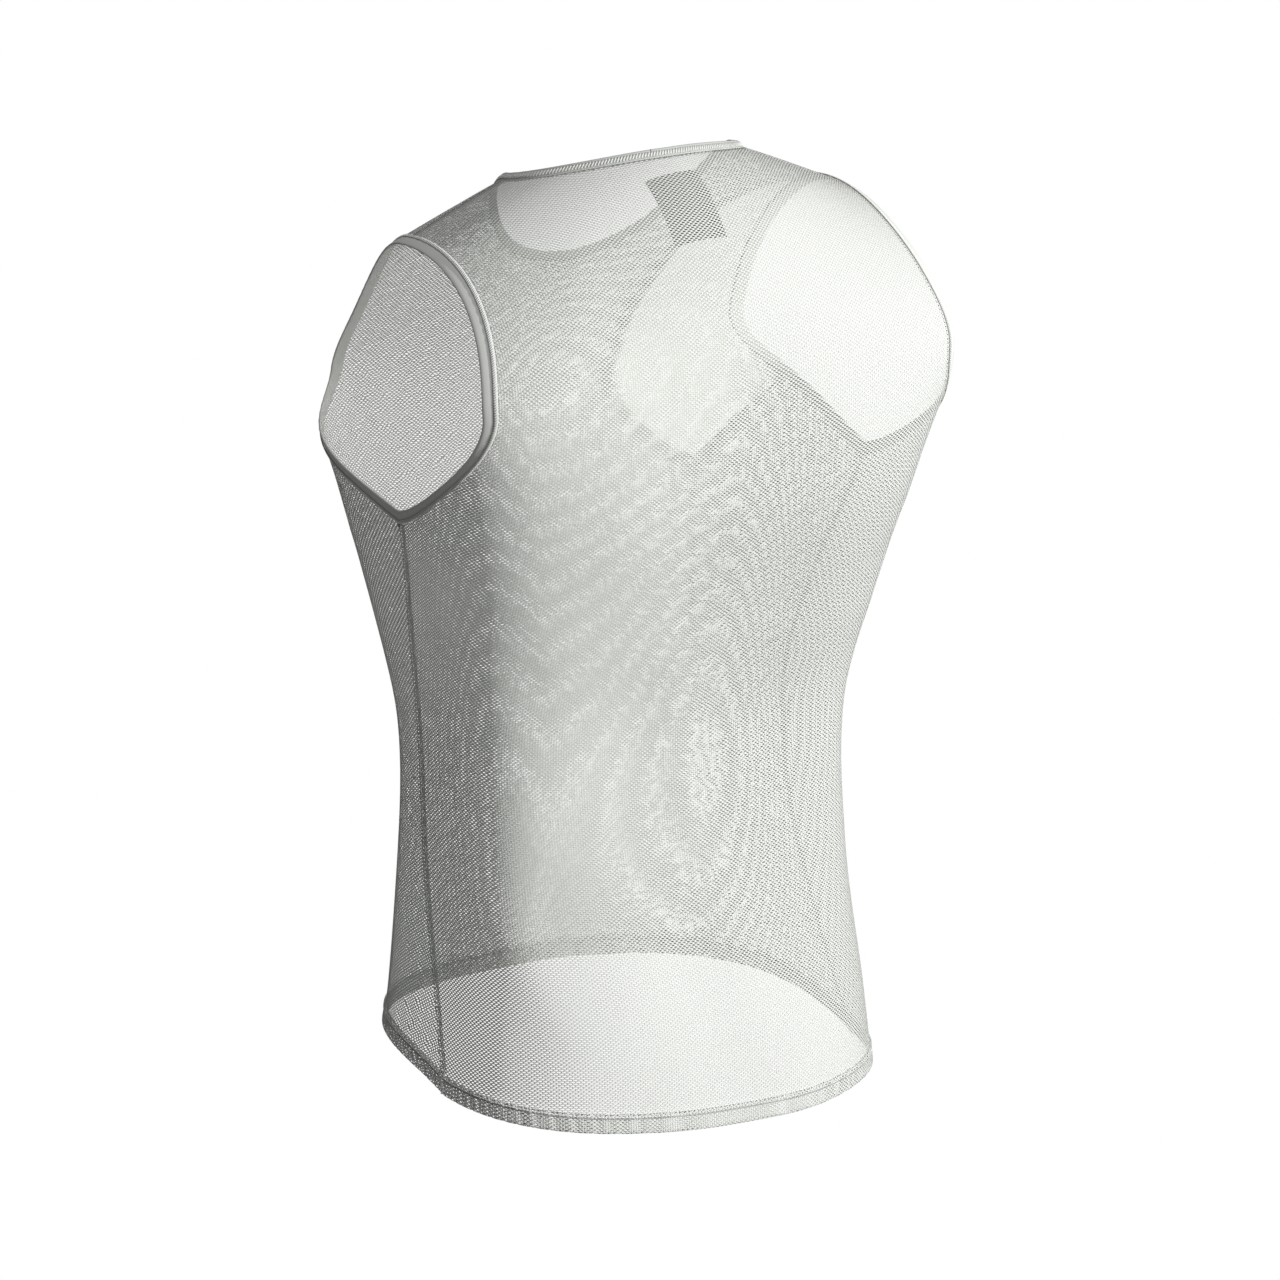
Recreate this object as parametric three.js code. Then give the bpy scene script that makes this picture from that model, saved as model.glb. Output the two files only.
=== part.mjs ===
// Sleeveless base layer, in millimetres, as a three.js scene graph.
//
// +Z is up, +X is the wearer's left and the front faces -Y. The origin lies midway between the neck
// ends of the two shoulder seams, where the wearer's shoulders hold the garment up.
//
// The cloth hangs filled out on a general figure. One smooth form gives its outside surface. A point
// of the form has an angle round the body and a latitude up it: latitude 0 is the height where the
// body starts to close over into the shoulders, and latitude 90 degrees is the shoulder seam. Each
// panel is a closed wall between two skins of that form, and each binding is a closed ring.

import * as THREE from "three";

// ---- driving sizes -------------------------------------------------------------------------------

const CLOTH = 1.2; // one layer of the open knit
const HEM_DEPTH = 15; // the hem is turned up inside by this much
const HEM_OUT = 0.8; // the doubled hem stands out of the panel
const HEM_IN = 1.8; // and reaches inside it
const HEM_STEP = 1.2; // height over which the doubled hem ends
const SEAM_GAP = 0.3; // between pieces that are sewn together

const UNDERARM = -223; // bottom of the armhole openings
const SHOULDER_RISE = 125; // the sides close over in this height
const SHOULDER_SLOPE = 0.43; // fall of the shoulder seam for each millimetre out
const NECK_ROUND = 60; // radius that rounds the slope over the neck
const TILT_TOP = -0.06; // the garment leans: its left shoulder is low
const TILT_HEM = 0.05; // and its left hem is high

const SHOULDER_TIP = 47; // angle at which both armhole edges reach the shoulder seam
const ARM_BULGE = 2; // degrees that the armholes bow into the panels
const ARM_BULGE_FROM = 0.4; // and the share of their edge where that starts

const NECK_HALF_WIDTH = 102;
const CROWN_IN = 60; // half width up to which a panel has the crown of its neck
const CROWN_OUT = 200; // half width from which it has the crown of its shoulder tip

const NECK_STRIP = 7.5; // width of the neck binding
const NECK_FOOT = 1.5; // its sewn foot lies along the panel
const NECK_LEAN = 0.8; // upward share of its stand
const ARM_STRIP = 9.5; // width of the armhole bindings
const STRIP_GAP = 0.5; // their seam gap, measured down the form
const STRIP_THICK = 1.9; // a binding is cloth folded double
const STRIP_PROUD = 0.4; // it stands this far out of the panel

const LABEL_WIDTH = 44;
const LABEL_HEIGHT = 54;
const LABEL_THICK = 0.5;
const LABEL_CLEAR = 1.0; // from the panel, whose facets are flatter than the cloth
const LABEL_DROP = 15; // below the back neckline
const LABEL_ASIDE = 10; // its middle, to the wearer's left

// Heights down the body, each with the half width, the reach to front and back of the ring's centre,
// the squareness of the ring (2 is an ellipse), the centre's y, and the angle of the side seam.
const RINGS = [
  { height: -690, halfWidth: 192, front: 157, back: 122, square: 2.5, centreY: 5, seam: 18 },
  { height: -600, halfWidth: 175, front: 127, back: 119, square: 3.0, centreY: 2, seam: 2.5 },
  { height: -500, halfWidth: 164, front: 104.5, back: 98.5, square: 3.7, centreY: -6, seam: -9.5 },
  { height: -400, halfWidth: 163, front: 100.5, back: 88.5, square: 4.0, centreY: -9, seam: -13.5 },
  { height: -320, halfWidth: 178.5, front: 112, back: 102, square: 4.2, centreY: -4, seam: -7.5 },
  { height: -223, halfWidth: 205, front: 132, back: 126, square: 4.0, centreY: 3, seam: 3 },
  { height: -130, halfWidth: 227, front: 134, back: 131, square: 4.8, centreY: 6, seam: 3 },
  { height: -60, halfWidth: 228, front: 114, back: 130, square: 4.8, centreY: -4, seam: 3 },
  { height: 0, halfWidth: 222, front: 100, back: 128, square: 4.8, centreY: -14, seam: 3 },
];

// The two panels. The hem has a height at the side and one in the middle, and a bend that says how
// soon it leaves the first. The neckline has a reach, and a squareness as seen from above (2 is an
// ellipse). The armhole has an angle, which is that of its widest place, and a point: at 1 it is
// round under the arm, and above that pointed. The form closes over from the chest to the shoulder
// seam in a rise and with a crown, each at the neck and at the shoulder tip: a crown of 1 is a
// straight slope and 2 an ellipse. Soft is the share of the rise over which the slope starts.
const BACK = {
  name: "back_panel", depth: "back", way: 1,
  hemSide: -657, hemMiddle: -679, hemBend: 1.0,
  neckReach: 65, neckSquare: 1.8, armAngle: 43.2, armPoint: 1.4,
  neckCrown: 2.5, tipCrown: 2.1, neckRise: 200, tipRise: 125, soft: 0.08,
};
const FRONT = {
  name: "front_panel", depth: "front", way: -1,
  hemSide: -657, hemMiddle: -617, hemBend: 0.8,
  neckReach: 73, neckSquare: 1.9, armAngle: 48.5, armPoint: 1.8,
  neckCrown: 1.35, tipCrown: 1.75, neckRise: 170, tipRise: 130, soft: 0.25,
};

// Mesh steps.
const HALF_COLUMNS = 16; // from a panel's side edge to its middle
const SHOULDER_COLUMNS = 7; // of those, along the shoulder seam
const BODY_ROWS = 12; // from the hem to the underarm
const YOKE_ROWS = 16; // from the underarm to the shoulder, and steps of a binding beside them
const LABEL_STEPS = 6;
const YOKE_DIP = 70; // the first row of the yoke is this much lower in the middle
const YOKE_BEND = 0.8;
const SLOPE_STEP = 0.01; // radians, for the normals
const HALVINGS = 40; // in the search for the neckline's height

// ---- the form ------------------------------------------------------------------------------------

const { sin, cos, abs } = Math;
const RIGHT_ANGLE = Math.PI / 2;
const radians = THREE.MathUtils.degToRad;
const lerp = THREE.MathUtils.lerp;
const smoothstep = THREE.MathUtils.smoothstep;

// One column of the table at any height: a smooth curve through its rows.
function ring(column, height) {
  const last = RINGS.length - 1;
  const slope = (i) => {
    const below = RINGS[Math.max(i - 1, 0)];
    const above = RINGS[Math.min(i + 1, last)];
    return (above[column] - below[column]) / (above.height - below.height);
  };
  let i = 0;
  while (i < last - 1 && RINGS[i + 1].height < height) i += 1;
  const step = RINGS[i + 1].height - RINGS[i].height;
  const t = (height - RINGS[i].height) / step;
  const s = 1 - t;
  return RINGS[i][column] * (1 + 2 * t) * s * s + slope(i) * step * t * s * s
    + RINGS[i + 1][column] * t * t * (3 - 2 * t) - slope(i + 1) * step * t * t * s;
}

const heightAt = (latitude) => {
  const rise = latitude < 0 ? latitude : sin(latitude);
  return SHOULDER_RISE * (rise - 1);
};

const latitudeAt = (height) => {
  const rise = height / SHOULDER_RISE + 1;
  return rise < 0 ? rise : Math.asin(Math.min(rise, 1));
};

// Height of the shoulder line over a point this far from the middle.
const ridge = (x) =>
  SHOULDER_SLOPE * (Math.hypot(NECK_HALF_WIDTH, NECK_ROUND) - Math.hypot(x, NECK_ROUND));

// Share of a panel's depth that is left where its slope has risen by a share: all of it below the
// slope, and nothing at the shoulder seam.
function slopeShare(share, crown, soft) {
  const ramp = (t) => t + Math.hypot(t, soft);
  return Math.max(1 - (ramp(share) / ramp(1)) ** crown, 0) ** (1 / crown);
}

// Reach of the form from its centre line, to the front or the back, before the ring rounds it off.
function reach(panel, x, height) {
  const outward = smoothstep(abs(x), CROWN_IN, CROWN_OUT);
  const crown = lerp(panel.neckCrown, panel.tipCrown, outward);
  const rise = lerp(panel.neckRise, panel.tipRise, outward);
  return ring(panel.depth, height) * slopeShare(height / rise + 1, crown, panel.soft);
}

// A point of the form. The angle is 0 at the side, positive to the back and negative to the front;
// half is 1 on the wearer's left and -1 on the right.
function formPoint(half, angle, latitude) {
  const height = heightAt(latitude);
  const square = ring("square", height);
  const radius = (abs(cos(angle)) ** square + abs(sin(angle)) ** square) ** (1 / square);
  const x = half * ring("halfWidth", height) * cos(angle) / radius;
  const panel = angle < 0 ? FRONT : BACK;
  const overTop = latitude > RIGHT_ANGLE ? -1 : 1;
  const y = ring("centreY", height) + overTop * reach(panel, x, height) * sin(angle) / radius;
  const lean = lerp(TILT_TOP, TILT_HEM, height / RINGS[0].height);
  const z = height + ridge(x) * smoothstep(height, UNDERARM, 0) + x * lean;
  return new THREE.Vector3(x, y, z);
}

// Outward normal of the form. On the shoulder seam it has no part to the front or the back, so that
// the two panels meet there in one plane.
function formNormal(half, { angle, latitude, onShoulder }) {
  const across = (a, b) => formPoint(half, ...a).sub(formPoint(half, ...b));
  const around = across([angle + SLOPE_STEP, latitude], [angle - SLOPE_STEP, latitude]);
  const upward = across([angle, latitude + SLOPE_STEP], [angle, latitude - SLOPE_STEP]);
  const normal = around.cross(upward).multiplyScalar(half);
  if (onShoulder) normal.setY(0);
  return normal.normalize();
}

// A point moved out of the form by a distance, or into it where the distance is negative. On the
// shoulder seam it is also half a seam gap clear of the seam.
function liftedPoint(half, place, distance) {
  const point = formPoint(half, place.angle, place.latitude);
  point.addScaledVector(formNormal(half, place), distance);
  if (place.onShoulder) point.y += Math.sign(place.angle) * SEAM_GAP / 2;
  return point;
}

// ---- the cut edges -------------------------------------------------------------------------------

// Side seam, half a seam gap clear of it on the panel's own side.
const seamAngle = (panel, height) =>
  radians(ring("seam", height)) + panel.way * SEAM_GAP / 2 / ring(panel.depth, height);

// The armhole from the underarm (share 0) to the shoulder (share 1), a distance in from the opening.
function armholeEdge(panel, share, inset) {
  const moved = inset / ring("halfWidth", 0);
  const bow = sin(Math.PI * Math.max(share - ARM_BULGE_FROM, 0) / (1 - ARM_BULGE_FROM)) ** 2;
  const tip = lerp(panel.armAngle, SHOULDER_TIP, smoothstep(share, 0.5, 1)) + ARM_BULGE * bow;
  const edge = moved + radians(tip);
  if (share > 0.5) {
    return {
      angle: panel.way * edge,
      latitude: (2 * share - 1) * RIGHT_ANGLE,
      onShoulder: share === 1,
    };
  }
  const turn = 2 * share * RIGHT_ANGLE;
  const depth = (UNDERARM - inset + SHOULDER_RISE) * cos(turn);
  const seam = radians(ring("seam", UNDERARM - inset));
  return {
    angle: lerp(seam, panel.way * edge, sin(turn) ** panel.armPoint),
    latitude: latitudeAt(depth - SHOULDER_RISE),
  };
}

// The neckline from the shoulder seam (share 0) to the middle (share 1). Seen from above it is half
// an oval, and its height is where the form passes over that oval.
function necklineEdge(panel, share) {
  const power = 2 / panel.neckSquare;
  const x = NECK_HALF_WIDTH * cos(share * RIGHT_ANGLE) ** power;
  const out = panel.neckReach * sin(share * RIGHT_ANGLE) ** power;
  let low = UNDERARM;
  let high = 0;
  let ringX = 0;
  let ringY = 0;
  for (let i = 0; i < HALVINGS; i += 1) {
    const height = (low + high) / 2;
    const square = ring("square", height);
    ringX = x / ring("halfWidth", height);
    ringY = (1 - ringX ** square) ** (1 / square);
    const formY = ring("centreY", height) + panel.way * reach(panel, x, height) * ringY;
    const ovalY = ring("centreY", 0) + panel.way * out;
    if (panel.way * (formY - ovalY) > 0) low = height;
    else high = height;
  }
  return {
    angle: panel.way * Math.atan2(ringY, ringX),
    latitude: latitudeAt(low),
    onShoulder: share === 0,
  };
}

// The top edge of a panel from the armhole (share 0) to the middle (share 1).
function topEdge(panel, share) {
  const shoulderShare = SHOULDER_COLUMNS / HALF_COLUMNS;
  if (share >= shoulderShare) {
    return necklineEdge(panel, (share - shoulderShare) / (1 - shoulderShare));
  }
  const tip = armholeEdge(panel, 1, ARM_STRIP + STRIP_GAP).angle;
  const neck = necklineEdge(panel, 0).angle;
  return { angle: lerp(tip, neck, share / shoulderShare), latitude: RIGHT_ANGLE, onShoulder: true };
}

const hemHeight = (panel, share) =>
  lerp(panel.hemSide, panel.hemMiddle, sin(share * RIGHT_ANGLE) ** panel.hemBend);

// ---- closed meshes -------------------------------------------------------------------------------

// A mesh from points and triangles, turned so that its faces point out.
function solid(points, triangles) {
  let volume = 0;
  const normal = new THREE.Vector3();
  for (const [a, b, c] of triangles) {
    volume += normal.crossVectors(points[a], points[b]).dot(points[c]);
  }
  const facing = volume > 0 ? triangles : triangles.map(([a, b, c]) => [a, c, b]);
  const geometry = new THREE.BufferGeometry().setFromPoints(points);
  geometry.setIndex(facing.flat());
  geometry.computeVertexNormals();
  return geometry;
}

// A closed wall between two grids of points of the same size.
function wall(outside, inside) {
  const rows = outside.length;
  const columns = outside[0].length;
  const points = [...outside.flat(), ...inside.flat()];
  const outer = (row, column) => row * columns + column;
  const inner = (row, column) => rows * columns + outer(row, column);
  const triangles = [];
  const face = (a, b, c, d) => triangles.push([a, b, c], [a, c, d]);
  for (let r = 0; r < rows - 1; r += 1) {
    for (let c = 0; c < columns - 1; c += 1) {
      const corners = [[r, c], [r, c + 1], [r + 1, c + 1], [r + 1, c]];
      if (2 * c >= columns - 1) corners.push(corners.shift()); // diagonals mirror across the middle
      const [p, q, s, t] = corners;
      face(outer(...p), outer(...q), outer(...s), outer(...t));
      face(inner(...p), inner(...t), inner(...s), inner(...q));
    }
  }
  for (let r = 0; r < rows - 1; r += 1) {
    face(outer(r, 0), outer(r + 1, 0), inner(r + 1, 0), inner(r, 0));
    const last = columns - 1;
    face(outer(r + 1, last), outer(r, last), inner(r, last), inner(r + 1, last));
  }
  for (let c = 0; c < columns - 1; c += 1) {
    face(outer(0, c + 1), outer(0, c), inner(0, c), inner(0, c + 1));
    face(outer(rows - 1, c), outer(rows - 1, c + 1), inner(rows - 1, c + 1), inner(rows - 1, c));
  }
  return solid(points, triangles);
}

// A closed ring through sections that have the same number of corners.
function ringSolid(sections) {
  const corners = sections[0].length;
  const triangles = [];
  sections.forEach((section, s) => {
    const next = (s + 1) % sections.length;
    for (let c = 0; c < corners; c += 1) {
      const d = (c + 1) % corners;
      const [p, q] = [s * corners, next * corners];
      triangles.push([p + c, q + c, q + d], [p + c, q + d, p + d]);
    }
  });
  return solid(sections.flat(), triangles);
}

// ---- the pieces ----------------------------------------------------------------------------------

// Height of the row where the yoke starts: it dips from the underarm to the middle, so that the mesh
// opens out below the armhole.
const yokeStart = (share) =>
  UNDERARM - ARM_STRIP - STRIP_GAP - YOKE_DIP * sin(share * RIGHT_ANGLE) ** YOKE_BEND;

// Rows of a half panel, from the hem to the neck. A row tells where a column's point lies and how
// far the two skins are from the form.
function panelRows(panel) {
  const hem = (height, skins) => ({ place: (share) => sidePlace(panel, share, height(share)), ...skins });
  const doubled = { out: HEM_OUT, in: HEM_IN };
  const single = { out: 0, in: CLOTH };
  const hemTop = (share) => hemHeight(panel, share) + HEM_DEPTH;
  const rows = [
    hem((share) => hemHeight(panel, share), doubled),
    hem(hemTop, doubled),
  ];
  for (let r = 0; r < BODY_ROWS; r += 1) {
    rows.push(hem((share) => lerp(hemTop(share) + HEM_STEP, yokeStart(share), r / BODY_ROWS), single));
  }
  for (let r = 0; r <= YOKE_ROWS; r += 1) {
    rows.push({ place: (share) => yokePlace(panel, share, r / YOKE_ROWS), ...single });
  }
  return rows;
}

// A place between the side seam (share 0) and the middle (share 1) at a height.
function sidePlace(panel, share, height) {
  const angle = lerp(seamAngle(panel, height), panel.way * RIGHT_ANGLE, share);
  return { angle, latitude: latitudeAt(height) };
}

// How far a place has climbed the yoke, for spacing the rows: by latitude on the rounded back, and
// by height on the straight slope of the front.
const climbAt = (panel, latitude) =>
  (panel === BACK ? latitude : heightAt(latitude) / SHOULDER_RISE);
const latitudeOf = (panel, climb) =>
  (panel === BACK ? climb : latitudeAt(climb * SHOULDER_RISE));

// A place in the yoke, blended from its four edges: the row where the yoke starts, the armhole, the
// top edge and the middle line.
function yokePlace(panel, share, up) {
  const inset = ARM_STRIP + STRIP_GAP;
  const measured = ({ angle, latitude }) => [angle, climbAt(panel, latitude)];
  const low = (t) => measured(sidePlace(panel, t, yokeStart(t)));
  const top = (t) => measured(topEdge(panel, t));
  const armhole = (t) => {
    const edge = armholeEdge(panel, t, inset);
    const seam = seamAngle(panel, heightAt(edge.latitude));
    const angle = panel.way * Math.max(panel.way * edge.angle, panel.way * seam);
    return [angle, Math.min(climbAt(panel, edge.latitude), top(0)[1])];
  };
  const middle = (t) => [panel.way * RIGHT_ANGLE, lerp(low(1)[1], top(1)[1], t)];
  const [angle, climb] = [0, 1].map((i) => lerp(armhole(up)[i], middle(up)[i], share)
    + lerp(low(share)[i], top(share)[i], up)
    - lerp(lerp(low(0)[i], low(1)[i], share), lerp(top(0)[i], top(1)[i], share), up));
  const onShoulder = up === 1 && share <= SHOULDER_COLUMNS / HALF_COLUMNS;
  return { angle, latitude: latitudeOf(panel, climb), onShoulder };
}

function panelGeometry(panel) {
  const rows = panelRows(panel);
  const skin = (distance) => rows.map((row) => {
    const left = [];
    const right = [];
    for (let c = 0; c <= HALF_COLUMNS; c += 1) {
      const place = row.place(c / HALF_COLUMNS);
      left.push(liftedPoint(1, place, distance(row)));
      if (c < HALF_COLUMNS) right.unshift(liftedPoint(-1, place, distance(row)));
    }
    return [...left, ...right];
  });
  return wall(skin((row) => row.out), skin((row) => -row.in));
}

// Places all round an armhole: up the back from the underarm, over the shoulder and down the front.
function armholeLoop(inset) {
  const shares = [...Array(YOKE_ROWS).keys()].map((i) => i / YOKE_ROWS);
  return [
    ...shares.map((share) => armholeEdge(BACK, share, inset)),
    ...shares.map((share) => armholeEdge(FRONT, 1 - share, inset)),
  ];
}

// An armhole binding: a flat folded strip with a rounded free edge at the opening.
function armholeBinding(half) {
  const sewn = armholeLoop(ARM_STRIP);
  const free = armholeLoop(0);
  const round = armholeLoop(-STRIP_THICK / 2);
  const inner = STRIP_PROUD - STRIP_THICK;
  const sections = sewn.map((place, i) => [
    liftedPoint(half, place, inner),
    liftedPoint(half, place, STRIP_PROUD),
    liftedPoint(half, free[i], STRIP_PROUD),
    liftedPoint(half, round[i], (STRIP_PROUD + inner) / 2),
    liftedPoint(half, free[i], inner),
  ]);
  return ringSolid(sections);
}

// The neckline all round: across the back from the left shoulder and back across the front.
function neckLoop() {
  const steps = HALF_COLUMNS - SHOULDER_COLUMNS;
  const quarter = [...Array(steps).keys()].map((i) => i / steps);
  const stops = [
    ...quarter.map((t) => [1, BACK, t]),
    ...quarter.map((t) => [-1, BACK, 1 - t]),
    ...quarter.map((t) => [-1, FRONT, t]),
    ...quarter.map((t) => [1, FRONT, 1 - t]),
  ];
  return stops.map(([half, panel, share]) => {
    const place = necklineEdge(panel, share);
    return {
      point: formPoint(half, place.angle, place.latitude),
      normal: formNormal(half, place),
    };
  });
}

// The neck binding: its foot lies along the panels and the strip then stands up round the neck.
function neckBinding() {
  const loop = neckLoop();
  const sections = loop.map(({ point, normal }, i) => {
    const before = loop[(i + loop.length - 1) % loop.length].point;
    const after = loop[(i + 1) % loop.length].point;
    const along = after.clone().sub(before).normalize();
    const inward = along.clone().cross(normal).normalize();
    if (inward.x * point.x + inward.y * (point.y - ring("centreY", 0)) > 0) inward.negate();
    const stand = inward.clone().add(new THREE.Vector3(0, 0, NECK_LEAN)).normalize();
    const outward = stand.clone().cross(along).normalize();
    if (outward.dot(normal) < 0) outward.negate();
    const bend = outward.clone().add(normal).normalize();
    const at = (base, direction, distance) => base.clone().addScaledVector(direction, distance);
    const half = STRIP_THICK / 2;
    const root = at(at(point, inward, SEAM_GAP), normal, STRIP_PROUD - half);
    const foot = at(root, inward, NECK_FOOT);
    const top = at(foot, stand, NECK_STRIP - NECK_FOOT);
    return [
      at(root, normal, -half),
      at(root, normal, half),
      at(foot, bend, half),
      at(top, outward, half),
      at(top, stand, half),
      at(top, outward, -half),
      at(foot, bend, -half),
    ];
  });
  return ringSolid(sections);
}

// The label: a small patch just inside the back panel, under the neckline.
function neckLabel() {
  const neck = necklineEdge(BACK, 1).latitude;
  const above = formPoint(1, RIGHT_ANGLE, neck);
  const below = formPoint(1, RIGHT_ANGLE, neck - SLOPE_STEP);
  const latitudePerMillimetre = SLOPE_STEP / above.distanceTo(below);
  const skin = (depth) => {
    const grid = [];
    for (let r = 0; r <= LABEL_STEPS; r += 1) {
      const drop = LABEL_DROP + LABEL_HEIGHT * (1 - r / LABEL_STEPS);
      const latitude = neck - drop * latitudePerMillimetre;
      const halfWidth = ring("halfWidth", heightAt(latitude));
      const row = [];
      for (let c = 0; c <= LABEL_STEPS; c += 1) {
        const x = LABEL_ASIDE + LABEL_WIDTH * (0.5 - c / LABEL_STEPS);
        const angle = Math.acos(abs(x) / halfWidth);
        row.push(liftedPoint(x < 0 ? -1 : 1, { angle, latitude }, -depth));
      }
      grid.push(row);
    }
    return grid;
  };
  const start = CLOTH + LABEL_CLEAR;
  return wall(skin(start), skin(start + LABEL_THICK));
}

// ---- the garment ---------------------------------------------------------------------------------

const knit = { color: 0xf1f3ee, roughness: 0.85, metalness: 0 };
const rib = { color: 0xe9ebe6, roughness: 0.8, metalness: 0 };
const satin = { color: 0x9b9c99, roughness: 0.6, metalness: 0 };

function piece(name, geometry, look) {
  const mesh = new THREE.Mesh(geometry, new THREE.MeshStandardMaterial(look));
  mesh.name = name;
  return mesh;
}

const garment = new THREE.Group();
garment.name = "sleeveless_base_layer";
garment.add(
  piece(BACK.name, panelGeometry(BACK), knit),
  piece(FRONT.name, panelGeometry(FRONT), knit),
  piece("neck_binding", neckBinding(), rib),
  piece("armhole_binding_left", armholeBinding(1), rib),
  piece("armhole_binding_right", armholeBinding(-1), rib),
  piece("neck_label", neckLabel(), satin),
);

export default garment;
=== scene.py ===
"""Looks of the sleeveless base layer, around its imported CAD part. Metres, +Z up, front to -Y.

Every piece lies on one smooth form, the outside of the filled-out garment. A place on the form is
(half, angle, latitude, on_shoulder): half is 1 on the wearer's left and -1 on the right, the angle
is 0 at the side, positive to the back and negative to the front, and the latitude is 0 where the
sides start to close over and 90 degrees at the shoulder seam.
"""

import math
from collections import namedtuple

import bpy
import numpy as np
from mathutils import Matrix, Vector


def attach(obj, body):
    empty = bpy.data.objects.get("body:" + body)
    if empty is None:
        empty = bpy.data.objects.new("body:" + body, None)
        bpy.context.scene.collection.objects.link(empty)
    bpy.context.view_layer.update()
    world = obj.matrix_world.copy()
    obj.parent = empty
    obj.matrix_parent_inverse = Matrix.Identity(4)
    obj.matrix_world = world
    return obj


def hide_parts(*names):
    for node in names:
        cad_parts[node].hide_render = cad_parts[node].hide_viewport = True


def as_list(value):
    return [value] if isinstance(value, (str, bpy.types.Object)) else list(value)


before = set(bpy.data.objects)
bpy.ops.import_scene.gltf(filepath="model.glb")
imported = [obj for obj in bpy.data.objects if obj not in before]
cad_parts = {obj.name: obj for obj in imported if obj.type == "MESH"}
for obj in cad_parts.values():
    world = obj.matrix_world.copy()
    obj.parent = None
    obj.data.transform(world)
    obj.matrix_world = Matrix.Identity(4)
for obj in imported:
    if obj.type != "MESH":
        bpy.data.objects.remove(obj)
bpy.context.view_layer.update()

# ---- sizes of the form, as the CAD part has them ----

RING_COLUMNS = ("height", "half_width", "front", "back", "square", "centre_y", "seam")
RING_ROWS = (
    (-0.690, 0.192, 0.157, 0.122, 2.5, 0.005, 18),
    (-0.600, 0.175, 0.127, 0.119, 3.0, 0.002, 2.5),
    (-0.500, 0.164, 0.1045, 0.0985, 3.7, -0.006, -9.5),
    (-0.400, 0.163, 0.1005, 0.0885, 4.0, -0.009, -13.5),
    (-0.320, 0.1785, 0.112, 0.102, 4.2, -0.004, -7.5),
    (-0.223, 0.205, 0.132, 0.126, 4.0, 0.003, 3),
    (-0.130, 0.227, 0.134, 0.131, 4.8, 0.006, 3),
    (-0.060, 0.228, 0.114, 0.130, 4.8, -0.004, 3),
    (0.000, 0.222, 0.100, 0.128, 4.8, -0.014, 3),
)
RINGS = {name: np.array(values) for name, values in zip(RING_COLUMNS, zip(*RING_ROWS))}

UNDERARM = -0.223
SHOULDER_RISE = 0.125
SHOULDER_SLOPE = 0.43
NECK_ROUND = 0.060
TILT_TOP = -0.06
TILT_HEM = 0.05
SHOULDER_TIP = 47  # degrees
ARM_BULGE = 2  # degrees
ARM_BULGE_FROM = 0.4
NECK_HALF_WIDTH = 0.102
CROWN_IN = 0.060
CROWN_OUT = 0.200
NECK_STRIP = 0.0075
NECK_FOOT = 0.0015
NECK_LEAN = 0.8
ARM_STRIP = 0.0095

Panel = namedtuple("Panel", "name depth way hem_side hem_middle hem_bend neck_reach neck_square "
                   "arm_angle arm_point neck_crown tip_crown neck_rise tip_rise soft")
BACK = Panel("back", "back", 1, -0.657, -0.679, 1.0, 0.065, 1.8,
             43.2, 1.4, 2.5, 2.1, 0.200, 0.125, 0.08)
FRONT = Panel("front", "front", -1, -0.657, -0.617, 0.8, 0.073, 1.9,
              48.5, 1.8, 1.35, 1.75, 0.170, 0.130, 0.25)

# ---- sizes that only the looks need ----

CLOTH = 0.0002  # one layer of the open knit
SEAM_CLEAR = 0.0001  # between two panels, and between a panel and its binding
HALF_COLUMNS = 64
SHOULDER_SHARE = 7 / 16  # of a half panel's columns, those along the shoulder seam
EDGE_SHARES = (0.004, 0.009)  # two more columns beside a panel's edge
BODY_ROWS = 66
YOKE_ROWS = 76
YOKE_DIP = 0.070  # the yoke starts this much lower in the middle than at the sides
YOKE_BEND = 0.8
SLOPE_STEP = 0.01  # radians, for measuring the form's slopes
BISECTIONS = 40  # steps in finding a height on the neckline

RIGHT_ANGLE = math.pi / 2
SIDES = {"left": 1, "right": -1}  # the wearer's sides, and the half of the form that each is

# ---- the form ----


def lerp(a, b, t):
    return a + (b - a) * t


def smoothstep(x, low, high):
    t = np.clip((x - low) / (high - low), 0, 1)
    return t * t * (3 - 2 * t)


def stacked(*parts):
    return np.stack(np.broadcast_arrays(*parts), axis=-1)


def ring(column, height):
    """One column of the table at any height: a smooth curve through its rows."""
    knots, values = RINGS["height"], RINGS[column]
    count = len(knots)
    after = np.minimum(np.arange(count) + 1, count - 1)
    before = np.maximum(np.arange(count) - 1, 0)
    slopes = (values[after] - values[before]) / (knots[after] - knots[before])
    i = np.searchsorted(knots[1:-1], height)
    step = knots[i + 1] - knots[i]
    t = (height - knots[i]) / step
    s = 1 - t
    low = values[i] * (1 + 2 * t) * s * s + slopes[i] * step * t * s * s
    high = values[i + 1] * t * t * (3 - 2 * t) - slopes[i + 1] * step * t * t * s
    return low + high


def height_at(latitude):
    return SHOULDER_RISE * (np.where(latitude < 0, latitude, np.sin(latitude)) - 1)


def latitude_at(height):
    rise = np.asarray(height) / SHOULDER_RISE + 1
    return np.where(rise < 0, rise, np.arcsin(np.clip(rise, 0, 1)))


def ridge(x):
    """Height of the shoulder line over a point this far from the middle."""
    return SHOULDER_SLOPE * (math.hypot(NECK_HALF_WIDTH, NECK_ROUND) - np.hypot(x, NECK_ROUND))


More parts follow.
